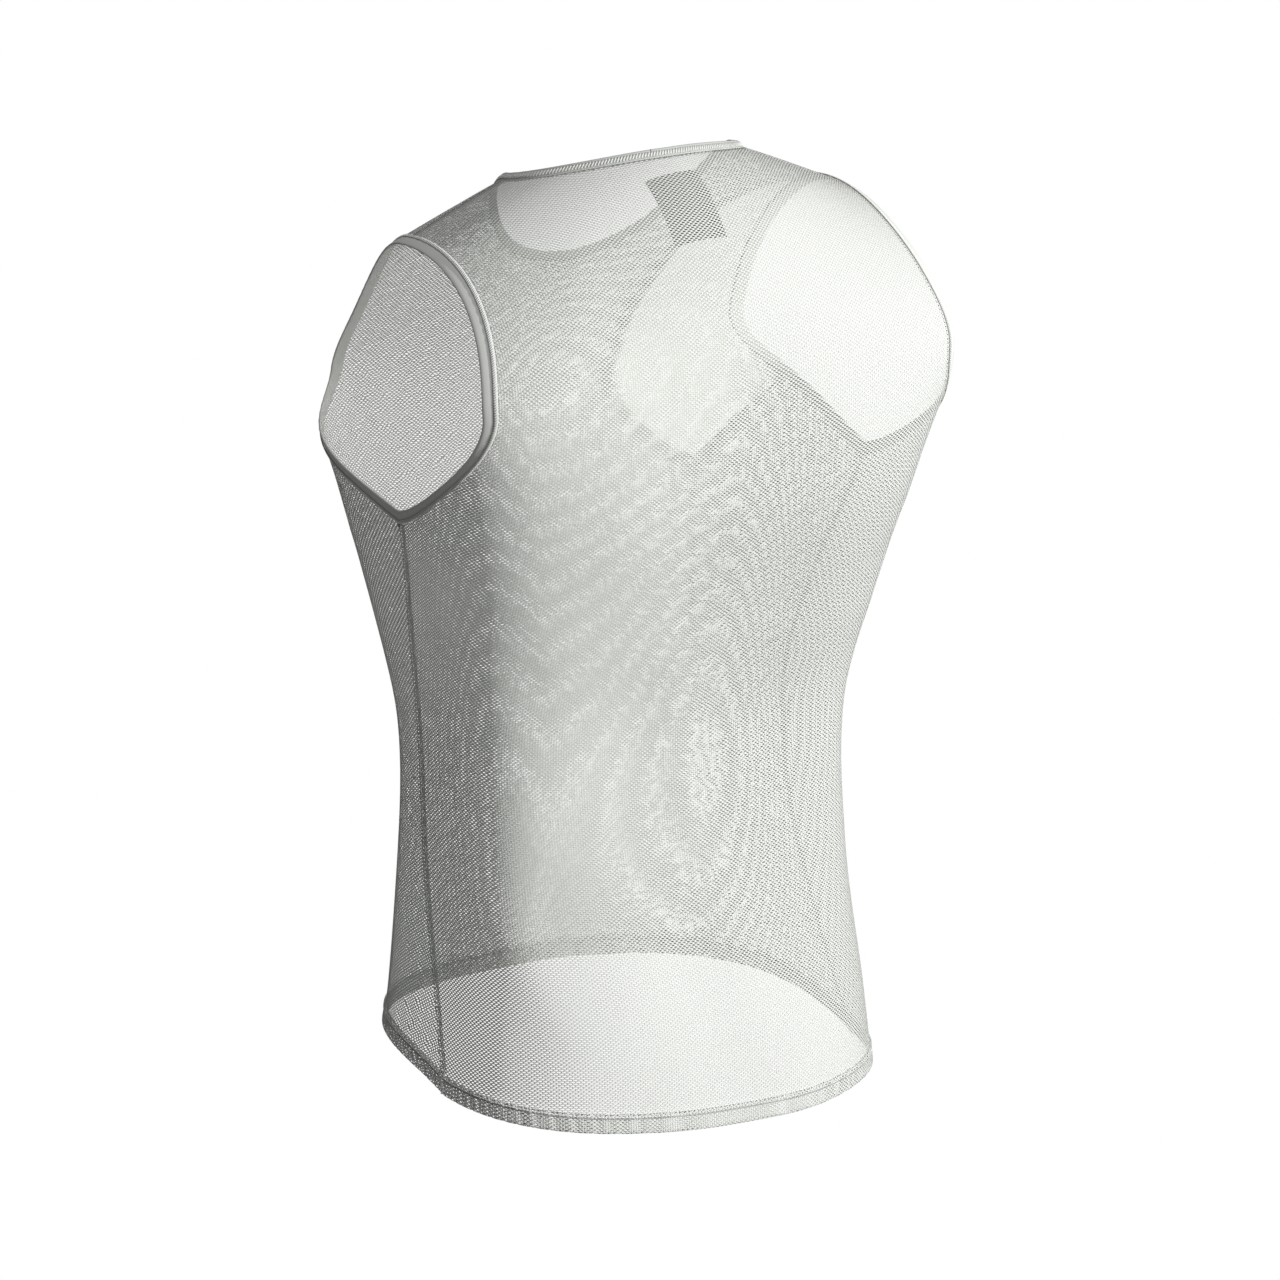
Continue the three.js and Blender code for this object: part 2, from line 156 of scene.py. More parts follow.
def reach(is_front, x, height):
    """Reach of the form from its centre line to the front or the back, not yet rounded off."""
    def pick(name):
        return np.where(is_front, getattr(FRONT, name), getattr(BACK, name))

    def ramp(t, soft):
        return t + np.hypot(t, soft)

    outward = smoothstep(np.abs(x), CROWN_IN, CROWN_OUT)
    crown = lerp(pick("neck_crown"), pick("tip_crown"), outward)
    rise = lerp(pick("neck_rise"), pick("tip_rise"), outward)
    soft = pick("soft")
    share = ramp(height / rise + 1, soft) / ramp(1, soft)
    left = np.maximum(1 - share ** crown, 0) ** (1 / crown)
    return np.where(is_front, ring("front", height), ring("back", height)) * left


def form_point(half, angle, latitude):
    height = height_at(latitude)
    square = ring("square", height)
    around = np.abs(np.cos(angle)) ** square + np.abs(np.sin(angle)) ** square
    radius = around ** (1 / square)
    x = half * ring("half_width", height) * np.cos(angle) / radius
    over_top = np.where(latitude > RIGHT_ANGLE, -1, 1)
    depth = over_top * reach(angle < 0, x, height) * np.sin(angle) / radius
    lean = lerp(TILT_TOP, TILT_HEM, height / RINGS["height"][0])
    z = height + ridge(x) * smoothstep(height, UNDERARM, 0) + x * lean
    return stacked(x, ring("centre_y", height) + depth, z)


Place = namedtuple("Place", "half angle latitude on_shoulder")


def place(half, angle, latitude, on_shoulder=False):
    return Place(*np.broadcast_arrays(half, angle, latitude, on_shoulder))


def unit(vectors):
    return vectors / np.maximum(np.linalg.norm(vectors, axis=-1, keepdims=True), 1e-12)


def form_normal(at):
    """Outward normal. On the shoulder seam it has no part to the front or the back."""
    def beside(turn, climb):
        return form_point(at.half, at.angle + turn, at.latitude + climb)

    around = beside(SLOPE_STEP, 0) - beside(-SLOPE_STEP, 0)
    upward = beside(0, SLOPE_STEP) - beside(0, -SLOPE_STEP)
    normal = np.cross(around, upward) * at.half[..., None]
    normal[..., 1] = np.where(at.on_shoulder, 0, normal[..., 1])
    return unit(normal)


# ---- how the cloth settles ----

# Soft troughs (negative) and ridges (positive) in the cloth, each along a line between two points.
Crease = namedtuple("Crease", "start end width lift")
CREASES = [Crease(*row) for row in (
    # below the left armhole and down the left side
    ((0.190, 0.050, -0.245), (0.125, 0.098, -0.400), 0.016, -0.0034),
    ((0.200, 0.085, -0.270), (0.150, 0.080, -0.470), 0.013, 0.0026),
    ((0.170, 0.040, -0.480), (0.135, 0.110, -0.590), 0.014, 0.0028),
    ((0.150, 0.075, -0.420), (0.120, 0.098, -0.560), 0.012, -0.0022),
    ((0.165, 0.075, -0.560), (0.150, 0.110, -0.640), 0.016, -0.0026),
    # across the small of the back and up to the right armhole
    ((-0.175, 0.060, -0.330), (-0.040, 0.095, -0.420), 0.015, -0.0020),
    ((-0.165, 0.030, -0.400), (-0.020, 0.085, -0.455), 0.013, 0.0016),
    ((-0.195, 0.090, -0.250), (-0.120, 0.115, -0.330), 0.014, -0.0022),
    ((0.060, 0.095, -0.360), (0.165, 0.040, -0.330), 0.013, -0.0014),
    # from the shoulder blades to the neck
    ((-0.090, 0.075, -0.020), (-0.150, 0.125, -0.130), 0.014, -0.0020),
    ((0.090, 0.075, -0.020), (0.140, 0.125, -0.120), 0.013, 0.0018),
    ((-0.020, 0.128, -0.090), (0.060, 0.135, -0.210), 0.022, -0.0014),
    # above the back hem
    ((-0.150, 0.085, -0.560), (-0.070, 0.125, -0.640), 0.018, -0.0022),
    ((0.020, 0.128, -0.590), (0.070, 0.125, -0.660), 0.015, 0.0016),
    # the front: from the armholes to the chest, across the stomach and above the hem
    ((0.190, -0.085, -0.250), (0.080, -0.122, -0.330), 0.016, -0.0030),
    ((-0.185, -0.085, -0.240), (-0.095, -0.128, -0.345), 0.018, -0.0026),
    ((0.170, -0.055, -0.340), (0.030, -0.105, -0.440), 0.014, 0.0022),
    ((-0.160, -0.060, -0.400), (-0.040, -0.112, -0.470), 0.013, -0.0020),
    ((0.110, -0.090, -0.030), (0.150, -0.125, -0.140), 0.013, -0.0022),
    ((-0.105, -0.085, -0.020), (-0.145, -0.125, -0.150), 0.014, 0.0018),
    ((-0.120, -0.120, -0.520), (-0.060, -0.145, -0.610), 0.017, -0.0022),
    ((0.100, -0.120, -0.500), (0.125, -0.125, -0.620), 0.015, 0.0024),
    ((0.020, -0.122, -0.480), (0.050, -0.140, -0.590), 0.020, -0.0018),
    # the right side, as seen from the wearer's right
    ((-0.190, 0.010, -0.250), (-0.165, -0.040, -0.400), 0.014, -0.0026),
    ((-0.175, 0.020, -0.440), (-0.178, -0.030, -0.600), 0.016, 0.0022),
)]
CREASE_LIFT = 0.55  # the open knit is light, so its creases are lower and wider than they are drawn
CREASE_WIDTH = 1.5
CREASE_END = 0.04  # a crease keeps a little depth at its ends
CREASE_FULLNESS = 0.7  # under 1, it stays deep for longer along its middle
# Long slow waves of the hanging cloth.
Wave = namedtuple("Wave", "round_body down_metre height phase")
WAVES = (Wave(5, 14.0, 0.0011, 0.4), Wave(9, 22.0, 0.0007, 1.9), Wave(3, 8.0, 0.0014, 2.7))
WAVE_SHIFT = 2.3  # between a wave's phase round the body and its phase down it
WAVE_START = 0.02  # the cloth lies smooth on the shoulders, this far down from them
WAVE_FADE = 0.10


def settled(points):
    """How far the cloth stands out of the smooth form at these points."""
    lift = np.zeros(points.shape[:-1])
    for crease in CREASES:
        start, end = np.array(crease.start), np.array(crease.end)
        along = end - start
        t = np.clip((points - start) @ along / (along @ along), 0, 1)
        away = np.linalg.norm(points - start - t[..., None] * along, axis=-1)
        ends = np.sin(math.pi * np.clip(t, CREASE_END, 1 - CREASE_END)) ** CREASE_FULLNESS
        across = np.exp(-((away / (CREASE_WIDTH * crease.width)) ** 2))
        lift += CREASE_LIFT * crease.lift * ends * across
    turn = np.arctan2(points[..., 1], points[..., 0])
    hanging = smoothstep(-points[..., 2], WAVE_START, WAVE_START + WAVE_FADE)
    for wave in WAVES:
        sideways = np.sin(wave.round_body * turn + wave.phase)
        downward = np.sin(wave.down_metre * points[..., 2] + WAVE_SHIFT * wave.phase)
        lift += wave.height * hanging * (sideways * downward)
    return lift


def lifted(at, distance):
    """Points of the settled cloth, moved out of it by a distance."""
    points = form_point(at.half, at.angle, at.latitude)
    normal = form_normal(at)
    points = points + normal * (distance + settled(points))[..., None]
    points[..., 1] += np.where(at.on_shoulder, np.sign(at.angle) * SEAM_CLEAR / 2, 0)
    return points


# ---- the cut edges ----


def seam_angle(panel, height):
    return (np.radians(ring("seam", height))
            + panel.way * SEAM_CLEAR / 2 / ring(panel.depth, height))


def armhole_edge(panel, share, inset):
    """The armhole from the underarm (share 0) to the shoulder (share 1), a distance in from the
    opening."""
    share = np.asarray(share, float)
    moved = inset / ring("half_width", 0.0)
    bow = np.sin(math.pi * np.maximum(share - ARM_BULGE_FROM, 0) / (1 - ARM_BULGE_FROM)) ** 2
    tip = lerp(panel.arm_angle, SHOULDER_TIP, smoothstep(share, 0.5, 1)) + ARM_BULGE * bow
    edge = moved + np.radians(tip)
    turn = np.minimum(2 * share, 1) * RIGHT_ANGLE
    depth = (UNDERARM - inset + SHOULDER_RISE) * np.cos(turn)
    upper = share > 0.5
    underarm = np.radians(ring("seam", UNDERARM - inset))
    angle = lerp(underarm, panel.way * edge, np.where(upper, 1, np.sin(turn) ** panel.arm_point))
    latitude = np.where(upper, (2 * share - 1) * RIGHT_ANGLE, latitude_at(depth - SHOULDER_RISE))
    return angle, latitude


def neckline_edge(panel, share):
    """The neckline from the shoulder seam (share 0) to the middle (share 1), half an oval as seen
    from above."""
    share = np.asarray(share, float)
    power = 2 / panel.neck_square
    x = NECK_HALF_WIDTH * np.maximum(np.cos(share * RIGHT_ANGLE), 0) ** power
    out = panel.neck_reach * np.sin(share * RIGHT_ANGLE) ** power
    low = np.full(x.shape, UNDERARM)
    high = np.zeros(x.shape)
    oval_y = ring("centre_y", 0.0) + panel.way * out
    for _ in range(BISECTIONS):
        height = (low + high) / 2
        square = ring("square", height)
        ring_x = x / ring("half_width", height)
        ring_y = (1 - ring_x ** square) ** (1 / square)
        form_y = ring("centre_y", height) + panel.way * reach(panel.way < 0, x, height) * ring_y
        too_low = panel.way * (form_y - oval_y) > 0
        low = np.where(too_low, height, low)
        high = np.where(too_low, high, height)
    return panel.way * np.arctan2(ring_y, ring_x), latitude_at(low)


def top_edge(panel, share):
    """The top edge of a panel from the armhole (share 0) to the middle (share 1)."""
    tip = armhole_edge(panel, 1.0, ARM_STRIP + SEAM_CLEAR)[0]
    neck = neckline_edge(panel, 0.0)[0]
    angle, latitude = neckline_edge(
        panel, np.clip((share - SHOULDER_SHARE) / (1 - SHOULDER_SHARE), 0, 1))
    on_seam = share <= SHOULDER_SHARE
    return (np.where(on_seam, lerp(tip, neck, share / SHOULDER_SHARE), angle),
            np.where(on_seam, RIGHT_ANGLE, latitude))


def hem_height(panel, share):
    return lerp(panel.hem_side, panel.hem_middle, np.sin(share * RIGHT_ANGLE) ** panel.hem_bend)


def side_place(panel, share, height):
    angle = lerp(seam_angle(panel, height), panel.way * RIGHT_ANGLE, share)
    return angle, latitude_at(height)


def yoke_start(share):
    return (UNDERARM - ARM_STRIP - SEAM_CLEAR
            - YOKE_DIP * np.sin(share * RIGHT_ANGLE) ** YOKE_BEND)


def yoke_place(panel, share, up):
    """A place in the yoke, blended from its four edges."""
    def climb(latitude):
        return latitude if panel is BACK else height_at(latitude) / SHOULDER_RISE

    def measured(edge):
        return np.stack([edge[0], climb(edge[1])])

    low = measured(side_place(panel, share, yoke_start(share)))
    top = measured(top_edge(panel, share))
    corners = [measured(side_place(panel, t, yoke_start(t))) for t in (0.0, 1.0)]
    tops = [measured(top_edge(panel, np.array(t))) for t in (0.0, 1.0)]
    arm_angle, arm_latitude = armhole_edge(panel, up, ARM_STRIP + SEAM_CLEAR)
    seam = seam_angle(panel, height_at(arm_latitude))
    arm = np.stack([
        panel.way * np.maximum(panel.way * arm_angle, panel.way * seam),
        np.minimum(climb(arm_latitude), tops[0][1]),
    ])
    middle = np.stack([panel.way * RIGHT_ANGLE + 0 * up, lerp(corners[1][1], tops[1][1], up)])
    blend = []
    for i in range(2):
        across = lerp(arm[i], middle[i], share)
        upward = lerp(low[i], top[i], up)
        flat = lerp(lerp(corners[0][i], corners[1][i], share),
                    lerp(tops[0][i], tops[1][i], share), up)
        blend.append(across + upward - flat)
    angle, raised = blend
    if panel is BACK:
        return angle, raised
    return angle, latitude_at(raised * SHOULDER_RISE)


# ---- flat patterns ----


PATTERN_ACROSS = 160
PATTERN_UP = 260
PATTERN_BELOW = 0.02  # the table of flat lengths reaches this far below the lowest ring
PATTERN_PAST_SIDE = math.radians(22)
LAST_CELL = 1.001  # an index stays this far from the table's end


class Pattern:
    """Flat coordinates of a panel's cloth, in metres: across from the middle and up the grain."""

    def __init__(self, panel):
        low = float(latitude_at(RINGS["height"][0] - PATTERN_BELOW))
        self.latitudes = np.linspace(low, RIGHT_ANGLE, PATTERN_UP)
        side = -panel.way * PATTERN_PAST_SIDE
        self.angles = np.linspace(panel.way * RIGHT_ANGLE, side, PATTERN_ACROSS)
        grid = form_point(1, self.angles[:, None], self.latitudes[None, :])
        across = np.linalg.norm(np.diff(grid, axis=0), axis=-1)
        upward = np.linalg.norm(np.diff(grid, axis=1), axis=-1)
        self.u = np.concatenate([np.zeros((1, PATTERN_UP)), np.cumsum(across, axis=0)], axis=0)
        self.v = np.concatenate([np.zeros((PATTERN_ACROSS, 1)), np.cumsum(upward, axis=1)], axis=1)

    def flat(self, at):
        i = (at.angle - self.angles[0]) / (self.angles[1] - self.angles[0])
        j = (at.latitude - self.latitudes[0]) / (self.latitudes[1] - self.latitudes[0])
        i = np.clip(i, 0, PATTERN_ACROSS - LAST_CELL)
        j = np.clip(j, 0, PATTERN_UP - LAST_CELL)
        i0, j0 = i.astype(int), j.astype(int)
        s, t = i - i0, j - j0

        def mix(table):
            return lerp(lerp(table[i0, j0], table[i0 + 1, j0], s),
                        lerp(table[i0, j0 + 1], table[i0 + 1, j0 + 1], s), t)

        return stacked(at.half * mix(self.u), mix(self.v))


# ---- meshes ----


def new_object(name, data):
    thing = bpy.data.objects.new(name, data)
    bpy.context.scene.collection.objects.link(thing)
    return thing


def mesh_object(name, points, faces, uvs, material):
    """uvs holds one flat coordinate for each point."""
    mesh = bpy.data.meshes.new(name)
    mesh.from_pydata(points.reshape(-1, 3).tolist(), [], faces.tolist())
    mesh.update()
    layer = mesh.uv_layers.new(name="flat")
    corners = np.zeros(len(mesh.loops), np.int32)
    mesh.loops.foreach_get("vertex_index", corners)
    layer.data.foreach_set("uv", uvs.reshape(-1, 2)[corners].astype(np.float32).ravel())
    mesh.polygons.foreach_set("use_smooth", np.ones(len(mesh.polygons), bool))
    mesh.materials.append(material)
    return new_object(name, mesh)


def grid_faces(rows, columns, wrap_rows=False, wrap_columns=False, flip=False):
    index = np.arange(rows * columns).reshape(rows, columns)
    if wrap_rows:
        index = np.concatenate([index, index[:1]], axis=0)
    if wrap_columns:
        index = np.concatenate([index, index[:, :1]], axis=1)
    quads = np.stack([index[:-1, :-1], index[:-1, 1:], index[1:, 1:], index[1:, :-1]], axis=-1)
    quads = quads.reshape(-1, 4)
    return quads[:, ::-1] if flip else quads


def solidify(thing, thickness):
    modifier = thing.modifiers.new("cloth", "SOLIDIFY")
    modifier.thickness = thickness
    modifier.offset = -1
    return thing


def outward_flip(points, normals):
    """True if quads wound along the grid's rows and columns would face against the normals."""
    r, c = ((count - 1) // 2 for count in points.shape[:2])
    across = points[r, c + 1] - points[r, c]
    upward = points[r + 1, c] - points[r, c]
    return float(np.cross(across, upward) @ normals[r, c]) < 0


# ---- panels ----

# The turned-up hem, from its raw edge inside, round the fold and up the outside: the height over
# the fold and the lift of the cloth's face there.
HEM_PROFILE = (
    (0.0146, -0.00175), (0.0110, -0.00185), (0.0075, -0.00185), (0.0040, -0.0018),
    (0.0016, -0.0016), (0.0005, -0.0011), (0.0000, -0.0004), (0.0002, 0.0004),
    (0.0010, 0.0010), (0.0030, 0.0012), (0.0065, 0.0011), (0.0100, 0.0010),
    (0.0130, 0.0008), (0.0143, 0.0004), (0.0152, 0.0),
)
HEM_FOLD = 6  # the profile's lowest point


def panel_places(panel):
    """Places and lifts of a whole panel, a row for each height, and which rows are turned up."""
    even = np.arange(HALF_COLUMNS + 1) / HALF_COLUMNS
    share = np.concatenate([[0.0], EDGE_SHARES, even[1:]])
    rows = []
    fold = hem_height(panel, share)
    for i, (height, lift) in enumerate(HEM_PROFILE):
        rows.append((*side_place(panel, share, fold + height), lift, i < HEM_FOLD))
    start = fold + HEM_PROFILE[-1][0]
    for r in range(1, BODY_ROWS):
        rows.append((*side_place(panel, share, lerp(start, yoke_start(share), r / BODY_ROWS)),
                     0.0, False))
    for r in range(YOKE_ROWS + 1):
        rows.append((*yoke_place(panel, share, np.full(share.shape, r / YOKE_ROWS)), 0.0, False))
    angle, latitude, lift, turned = (np.array(column) for column in zip(*rows))
    lift = lift[:, None] + 0 * angle
    on_shoulder = np.zeros(angle.shape, bool)
    on_shoulder[-1] = share <= SHOULDER_SHARE + 1e-9

    def both_halves(values):
        return np.concatenate([values, values[:, -2::-1]], axis=1)

    half = np.concatenate([np.ones(len(share)), -np.ones(len(share) - 1)])
    at = place(half[None, :], both_halves(angle), both_halves(latitude), both_halves(on_shoulder))
    return at, both_halves(lift), turned


def panel_object(panel, material):
    at, lift, turned = panel_places(panel)
    points = lifted(at, lift)
    flat = Pattern(panel).flat(at)
    fold = flat[HEM_FOLD, :, 1]
    flat[turned, :, 1] = 2 * fold - flat[turned, :, 1]
    rows, columns = at.angle.shape
    flip = outward_flip(points, form_normal(at))
    cloth = mesh_object(f"knit_{panel.name}", points, grid_faces(rows, columns, flip=flip),
                        flat, material)
    return solidify(cloth, CLOTH)


# ---- materials ----


def set_inputs(node, values):
    for name, value in values.items():
        node.inputs[name].default_value = value


class Nodes:
    """A few short calls for building a material's nodes."""

    def __init__(self, name):
        self.material = bpy.data.materials.new(name)
        self.material.use_nodes = True
        self.tree = self.material.node_tree
        self.shader = self.tree.nodes["Principled BSDF"]

    def add(self, kind, **settings):
        node = self.tree.nodes.new(kind)
        for key, value in settings.items():
            setattr(node, key, value)
        return node

    def join(self, source, target):
        self.tree.links.new(source, target)

    def math(self, operation, *inputs):
        node = self.add("ShaderNodeMath", operation=operation)
        for socket, value in zip(node.inputs, inputs):
            if isinstance(value, (int, float)):
                socket.default_value = value
            else:
                self.join(value, socket)
        return node.outputs[0]

    def flat(self):
        uv = self.add("ShaderNodeUVMap", uv_map="flat")
        parts = self.add("ShaderNodeSeparateXYZ")
        self.join(uv.outputs[0], parts.inputs[0])
        return uv.outputs[0], parts.outputs[0], parts.outputs[1]

    def noise(self, vector, scale, detail=2.0):
        node = self.add("ShaderNodeTexNoise")
        set_inputs(node, {"Scale": scale, "Detail": detail})
        self.join(vector, node.inputs["Vector"])
        return node.outputs[0]

    def smooth(self, value, low, high, to_low=0.0, to_high=1.0):
        node = self.add("ShaderNodeMapRange", interpolation_type="SMOOTHSTEP")
        self.join(value, node.inputs["Value"])
        set_inputs(node, {"From Min": low, "From Max": high, "To Min": to_low, "To Max": to_high})
        return node.outputs[0]

    def colour(self, factor, *stops):
        ramp = self.add("ShaderNodeValToRGB")
        elements = ramp.color_ramp.elements
        while len(elements) < len(stops):
            elements.new(0.5)
        for element, (position, rgb) in zip(elements, stops):
            element.position = position
            element.color = (*rgb, 1)
        self.join(factor, ramp.inputs[0])
        return ramp.outputs[0]

    def bump(self, height, distance):
        node = self.add("ShaderNodeBump")
        set_inputs(node, {"Strength": 0.8, "Distance": distance})
        self.join(height, node.inputs["Height"])
        self.join(node.outputs[0], self.shader.inputs["Normal"])

    def finish(self, roughness, sheen=0.0):
        set_inputs(self.shader, {"Roughness": roughness, "Specular IOR Level": 0.25,
                                 "Sheen Weight": sheen, "Sheen Roughness": 0.5})
        return self.material


HOLE_PITCH = 0.0039  # across, between the holes of a row
HOLE_ROW = 0.0014  # up, between rows; every other row is shifted by half a pitch
HOLE_WIDE = 0.0026
HOLE_TALL = 0.00106
HOLE_HAZE = 0.03  # fine filaments cross the holes and cover this share of them
HOLE_EDGE = (0.86, 1.06)  # the soft edge of a hole, in shares of its size
YARN_ROUND = (0.9, 1.7)  # the yarn rises from the hole's edge to here
UNEVEN_SCALE = 900.0
UNEVEN = 0.35  # how much the holes differ
SLUB_SCALE = 2500.0
SLUB = 0.35  # how uneven the yarn is
COLUMN_WANDER = 0.4  # columns wander this much, as a share of what the rows do
WHOLE = 4000.0  # an even number that keeps every count of rows and columns above 0
YARN_DARK = (0.56, 0.573, 0.54)
YARN_LIGHT = (0.74, 0.755, 0.715)
YARN_BUMP = 0.00035


def knit(name, wander_scale, wander):
    """An open warp knit: fine yarn around small lying oval holes, staggered from row to row.

    The rows wander by a share of their distance, in patches of one over the scale."""
    n = Nodes(name)
    vector, u, v = n.flat()
    drift = n.math("SUBTRACT", n.noise(vector, wander_scale, 1.0), 0.5)
    drift = n.math("MULTIPLY", drift, wander)
    row = n.math("ADD", n.math("DIVIDE", v, HOLE_ROW), drift)
    odd = n.math("MODULO", n.math("FLOOR", n.math("ADD", row, WHOLE)), 2.0)
    along = n.math("ADD", n.math("DIVIDE", u, HOLE_PITCH), n.math("MULTIPLY", odd, 0.5))
    along = n.math("ADD", along, n.math("MULTIPLY", drift, COLUMN_WANDER))
    cell_x = n.math("SUBTRACT", n.math("FRACT", n.math("ADD", along, WHOLE)), 0.5)
    cell_y = n.math("SUBTRACT", n.math("FRACT", row), 0.5)
    dx = n.math("MULTIPLY", cell_x, 2 * HOLE_PITCH / HOLE_WIDE)
    dy = n.math("MULTIPLY", cell_y, 2 * HOLE_ROW / HOLE_TALL)
    away = n.math("SQRT", n.math("ADD", n.math("POWER", n.math("ABSOLUTE", dx), 2.0),
                                 n.math("POWER", n.math("ABSOLUTE", dy), 2.0)))
    uneven = n.noise(vector, UNEVEN_SCALE, 1.0)
    away = n.math("ADD", away, n.math("MULTIPLY", n.math("SUBTRACT", uneven, 0.5), UNEVEN))
    cover = n.smooth(away, *HOLE_EDGE, HOLE_HAZE, 1.0)
    n.join(cover, n.shader.inputs["Alpha"])
    yarn = n.smooth(away, *YARN_ROUND)
    slub = n.noise(vector, SLUB_SCALE)
    height = n.math("ADD", yarn, n.math("MULTIPLY", slub, SLUB))
    n.bump(height, YARN_BUMP)
    # Painted shade: the yarn's colour darkens towards each hole's edge, where it rounds down; the
    # slubs vary it at random.
    shade_and_unevenness = n.math("ADD", n.math("MULTIPLY", yarn, 0.6), n.math("MULTIPLY", slub, 0.4))
    n.join(n.colour(shade_and_unevenness, (0.0, YARN_DARK), (1.0, YARN_LIGHT)), n.shader.inputs["Base Color"])
    return n.finish(roughness=0.78, sheen=0.12)


FLECK_SCALE = 1500.0
CLOUD_SCALE = 45.0


def plain(name, dark, light, ribs, bump, roughness=0.75, sheen=0.1):
    """A close cloth or thread: fine ribs across its length, and a little unevenness."""
    n = Nodes(name)
    vector, u, _ = n.flat()
    rib = n.math("SINE", n.math("MULTIPLY", u, 2 * math.pi / ribs))
    rib = n.math("ADD", n.math("MULTIPLY", rib, 0.5), 0.5)
    fleck = n.noise(vector, FLECK_SCALE)
    height = n.math("ADD", n.math("MULTIPLY", rib, 0.7), n.math("MULTIPLY", fleck, 0.5))
    n.bump(height, bump)
    cloud = n.noise(vector, CLOUD_SCALE)
    # Painted shade: the colour follows the height, darker in the rib troughs; the flecks and clouds
    # vary it at random.
    shade_and_unevenness = n.math("ADD", n.math("MULTIPLY", height, 0.5), n.math("MULTIPLY", cloud, 0.4))
    n.join(n.colour(shade_and_unevenness, (0.1, dark), (0.9, light)), n.shader.inputs["Base Color"])
    return n.finish(roughness, sheen)


KNIT_BACK = knit("open_knit_back", 25.0, 0.15)
KNIT_FRONT = knit("open_knit_front", 110.0, 2.6)
RIB = plain("binding_rib", (0.54, 0.55, 0.525), (0.68, 0.692, 0.661), 0.0011, 0.00008)
TAPE = plain("shoulder_tape", (0.58, 0.593, 0.563), (0.74, 0.753, 0.72), 0.0013, 0.00022)
# Painted shade: the neck binding is the same rib as the armholes' binding, in a darker copy of its
# colour.
NECK_RIB_SHADED = plain("neck_rib", (0.40, 0.409, 0.388), (0.52, 0.53, 0.505), 0.0011, 0.00008)
THREAD = plain("sewing_thread", (0.60, 0.61, 0.585), (0.74, 0.75, 0.725), 0.0004, 0.00005)
# Painted shade: a dark strip under the cover stitches, for the shade in their groove.
SHADE_STRIP = plain("stitch_painted_shade", (0.42, 0.429, 0.41), (0.54, 0.55, 0.528), 0.0010, 0.00012)
# Painted shade: dark lines along the side seams and under the hem's step, and dark threads at the
# neck join and the bar tacks.
SEAM_SHADE = plain("seam_painted_shade", (0.30, 0.306, 0.294), (0.40, 0.408, 0.392), 0.0010, 0.0001)
# The label's near-black colour: its own dark colour, darkened further by painted shade inside the
# back neck.
SATIN_DARK_AND_SHADED = plain("label_satin", (0.012, 0.012, 0.012), (0.036, 0.036, 0.037), 0.0005, 0.00008,
              roughness=0.6, sheen=0.0)

# ---- bindings ----

BINDING_THICK = 0.0019
BINDING_PROUD = 0.0004
LOOP_STEPS = 96  # round half an armhole
HEM_STEPS = 90  # along a quarter of the way round
NECK_STEPS = 60
# How a binding puckers along its seam: waves of one pitch, which a slow beat brings in and out.
Pucker = namedtuple("Pucker", "height pitch beat phase")
ARM_PUCKER = Pucker(0.00012, 0.0083, 31, 1)
NECK_PUCKER = Pucker(0.00010, 0.0079, 27, 2)
# The corner of each section along which the binding's length is measured, on its outer face.
ARM_RUN = 4
NECK_RUN = 5


def armhole_loop(half, inset):
    """Places all round an armhole: up the back from the underarm, over, and down the front."""
    share = np.arange(LOOP_STEPS) / LOOP_STEPS
    back = armhole_edge(BACK, share, inset)
    front = armhole_edge(FRONT, 1 - share, inset)
    return place(half, *np.concatenate([back, front], axis=1))


def loop_length(points):
    """Distance run along a closed loop of points, with the whole length last."""
    steps = np.linalg.norm(np.roll(points, -1, axis=0) - points, axis=-1)
    return np.concatenate([[0], np.cumsum(steps)])


def line_length(points):
    """Distance run along an open line of points."""
    steps = np.linalg.norm(np.diff(points, axis=0), axis=-1)
    return np.concatenate([[0], np.cumsum(steps)])


def puckered(run, pucker, outward):
    """How a binding's sections move outward at each distance along it."""
    wave = np.sin(run * 2 * math.pi / pucker.pitch)
    height = pucker.height * wave * np.sin(run * pucker.beat + pucker.phase)
    return (outward * height[:, None])[:, None, :]


def ring_object(name, sections, material, u, v):
    """A closed ring through sections (stations, corners, 3), with flat coordinates u along it and
    v round it."""
    stations, corners = sections.shape[:2]
    centre = sections.mean(axis=1)
    r = stations // 2
    across = sections[r, 1] - sections[r, 0]
    along = sections[r + 1, 0] - sections[r, 0]
    flip = float(np.cross(across, along) @ (sections[r, 0] - centre[r])) < 0
    uvs = stacked(u[:stations, None], v[None, :])
    faces = grid_faces(stations, corners, wrap_rows=True, wrap_columns=True, flip=flip)
    return mesh_object(name, sections, faces, uvs, material)


# A folded binding's section: the share of its width from the sewn edge to the free edge, and the
# share of its thickness from the inner face to the outer one.
BINDING_SECTION = (
    (0.00, 0.35), (0.00, 0.70), (0.05, 0.90), (0.16, 0.98), (0.35, 1.02), (0.55, 1.04),
    (0.75, 1.02), (0.90, 0.96), (0.97, 0.80), (1.00, 0.50), (0.97, 0.20), (0.90, 0.04),
    (0.75, 0.00), (0.55, -0.02), (0.35, 0.00), (0.16, 0.02), (0.05, 0.10),
)


